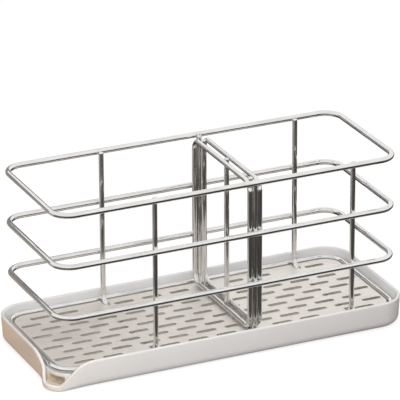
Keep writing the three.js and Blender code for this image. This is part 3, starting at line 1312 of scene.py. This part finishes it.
@dataclass(frozen=True)
class Viewpoint:
    """Where the camera stands: its direction, and the pixel that one point of the caddy falls on."""

    azimuth: float = 24.558
    elevation: float = 22.483
    roll: float = 0.302
    focal_pixels: float = 3630.3
    depth: float = 2027.5
    aim: Place = (0, 0, 71.5)
    aim_pixel: tuple[float, float] = (201.057, 212.547)
    image_pixels: float = 400
    sensor: float = 36
    nearest: float = 50

    def camera(self) -> None:
        """Sets up the camera."""
        azimuth, elevation, roll = map(math.radians, (self.azimuth, self.elevation, self.roll))
        ahead = Vector((math.sin(azimuth), math.cos(azimuth), 0))
        forward = ahead * math.cos(elevation) - UP * math.sin(elevation)
        level = forward.cross(UP).normalized()
        drop = forward.cross(level)
        right = level * math.cos(roll) + drop * math.sin(roll)
        down = drop * math.cos(roll) - level * math.sin(roll)
        pixel_size = self.depth / self.focal_pixels
        aside, below = ((pixel - self.image_pixels / 2) * pixel_size for pixel in self.aim_pixel)
        place = (Vector(self.aim) - right * aside - down * below - forward * self.depth) * MM
        data = bpy.data.cameras.new("camera")
        data.sensor_width = self.sensor
        data.lens = self.focal_pixels / self.image_pixels * self.sensor
        data.clip_start = self.nearest * MM
        camera = bpy.data.objects.new("camera", data)
        bpy.context.collection.objects.link(camera)
        turn = Matrix((right, -down, -forward)).transposed().to_4x4()
        camera.matrix_world = Matrix.Translation(place) @ turn
        bpy.context.scene.camera = camera


@dataclass(frozen=True)
class Card:
    """A matt card that lies or stands out of sight, to give the polished wires something to mirror."""

    name: str
    middle: Place
    size: tuple[float, float]
    colour: Colour
    stands: bool = False

    def place(self) -> None:
        """Puts the card in its place."""
        tilt = math.pi / 2 if self.stands else 0
        bpy.ops.mesh.primitive_plane_add(size=1, location=self.middle, rotation=(tilt, 0, 0))
        card = bpy.context.active_object
        card.name = self.name
        card.scale = (*self.size, 1)
        settle(card)
        shader = Shader(self.name)
        shader.fix("Base Color", self.colour)
        shader.fix("Roughness", 1.0)
        card.data.materials.append(shader.material)
        card.visible_camera = False
        card.visible_shadow = False
        card.visible_transmission = False
        card.visible_diffuse = False


@dataclass(frozen=True)
class Lamp:
    """A soft square lamp that points at the caddy."""

    name: str
    place: Place
    size: float
    watts: float
    aim: Place = (0, 0, 0.04)

    def hang(self) -> None:
        """Hangs the lamp in its place."""
        data = bpy.data.lights.new(self.name, "AREA")
        data.size = self.size
        data.energy = self.watts
        lamp = bpy.data.objects.new(self.name, data)
        bpy.context.collection.objects.link(lamp)
        # Bright metal mirrors the white surroundings, which already stand for the lamps there.
        lamp.visible_glossy = False
        lamp.location = self.place
        away = Vector(self.place) - Vector(self.aim)
        lamp.rotation_euler = away.to_track_quat("Z", "Y").to_euler()


@dataclass
class Studio:
    """The pale floor, the cards, the lamps and the white surroundings."""

    floor_size: float = 12
    floor_drop: float = 0.0002
    floor_colour: Colour = (0.40, 0.397, 0.394)
    floor_lift: float = 0.72
    bounce_stops: tuple[tuple[float, Colour], ...] = (
        (-0.122, (0.80, 0.47, 0.19)),
        (-0.100, (0.42, 0.40, 0.38)),
        (-0.020, (0.40, 0.375, 0.355)),
        (0.100, (0.31, 0.26, 0.23)),
    )
    surroundings: float = 0.27
    cards: tuple[Card, ...] = (
        Card("near_card", (0.03, -0.085, 0.0003), (0.56, 0.076), (0.055, 0.05, 0.045)),
        Card("front_card", (0.30, -0.95, 0.0004), (1.20, 1.66), (0.03, 0.0275, 0.025)),
        Card("left_front_card", (-0.806, -0.90, 0.0004), (1.388, 1.86), (0.15, 0.135, 0.12)),
        Card("left_card", (-0.90, 0.40, 0.0005), (1.56, 0.74), (0.585, 0.56, 0.53)),
        Card("right_card", (0.92, 0.10, 0.0005), (1.56, 0.46), (0.07, 0.064, 0.058)),
        Card("back_floor_card", (0.08, 0.15, 0.0004), (0.38, 0.19), (0.05, 0.046, 0.042)),
        Card("back_card", (-0.195, 0.26, 0.1035), (0.33, 0.207), (0.365, 0.386, 0.415), stands=True),
        Card("low_card", (0.0375, 0.26, 0.094), (0.065, 0.108), (0.28, 0.262, 0.24), stands=True),
        Card("high_card", (0.01, 0.26, 0.1775), (0.08, 0.059), (0.25, 0.235, 0.215), stands=True),
    )
    lamps: tuple[Lamp, ...] = (
        Lamp("top_lamp", (0.1, -0.1, 1.25), 2.4, 14.2),
        Lamp("left_lamp", (-0.25, -0.50, 0.35), 0.35, 2.06),
    )

    def bounce(self, shader: Shader) -> bpy.types.NodeSocket:
        """Colours the light that the floor throws back, from warm on the left to dim on the right.

        Args:
            shader: The floor's material.

        Returns:
            The colour.
        """
        along = shader.nodes.new("ShaderNodeSeparateXYZ")
        shader.links.new(shader.place, along.inputs["Vector"])
        first, last = self.bounce_stops[0][0], self.bounce_stops[-1][0]
        share = shader.nodes.new("ShaderNodeMapRange")
        share.inputs["From Min"].default_value = first
        share.inputs["From Max"].default_value = last
        shader.links.new(along.outputs["X"], share.inputs["Value"])
        ramp = shader.nodes.new("ShaderNodeValToRGB")
        stops = ramp.color_ramp.elements
        for x, _ in self.bounce_stops[1:-1]:
            stops.new((x - first) / (last - first))
        for stop, (_, colour) in zip(stops, self.bounce_stops):
            stop.color = (*colour, 1)
        shader.links.new(share.outputs["Result"], ramp.inputs["Fac"])
        return ramp.outputs["Color"]

    def floor(self) -> None:
        """Lays the floor, which looks white to the camera, takes shadows and lights the caddy from below."""
        bpy.ops.mesh.primitive_plane_add(size=self.floor_size, location=UP * -self.floor_drop)
        floor = bpy.context.active_object
        floor.name = "floor"
        shader = Shader("floor")
        shader.fix("Roughness", 1.0)
        shader.fix("Emission Color", (1, 1, 1))
        seen = shader.nodes.new("ShaderNodeLightPath").outputs["Is Camera Ray"]
        colour = shader.mix(seen, self.bounce(shader), self.floor_colour)
        shader.links.new(colour, shader.principled.inputs["Base Color"])
        lift = shader.nodes.new("ShaderNodeMath")
        lift.operation = "MULTIPLY"
        lift.inputs[1].default_value = self.floor_lift
        shader.links.new(seen, lift.inputs[0])
        shader.links.new(lift.outputs["Value"], shader.principled.inputs["Emission Strength"])
        floor.data.materials.append(shader.material)

    def world(self) -> None:
        """Makes the surroundings white to the camera and in reflections, and soft light otherwise."""
        world = bpy.data.worlds.new("surroundings")
        world.use_nodes = True
        nodes, links = world.node_tree.nodes, world.node_tree.links
        background = nodes["Background"]
        background.inputs["Color"].default_value = (1, 1, 1, 1)
        path = nodes.new("ShaderNodeLightPath")
        seen = nodes.new("ShaderNodeMath")
        seen.operation = "MAXIMUM"
        links.new(path.outputs["Is Camera Ray"], seen.inputs[0])
        links.new(path.outputs["Is Glossy Ray"], seen.inputs[1])
        strength = nodes.new("ShaderNodeMapRange")
        strength.inputs["To Min"].default_value = self.surroundings
        strength.inputs["To Max"].default_value = 1.0
        links.new(seen.outputs["Value"], strength.inputs["Value"])
        links.new(strength.outputs["Result"], background.inputs["Strength"])
        bpy.context.scene.world = world

    def build(self) -> None:
        """Sets up the studio."""
        self.floor()
        self.world()
        for card in self.cards:
            card.place()
        for lamp in self.lamps:
            lamp.hang()


def main() -> None:
    """Builds the caddy and the studio round it."""
    logging.basicConfig(level=logging.INFO, format="%(name)s: %(message)s")
    bpy.context.scene.view_settings.view_transform = "Standard"
    Viewpoint().camera()
    wire = PolishedWire().material()
    DripTray().build(WhitePlastic().material())
    WireRack().build(wire, SatinSheet().material())
    Divider().build(wire)
    Studio().build()


if __name__ == "__main__":
    main()
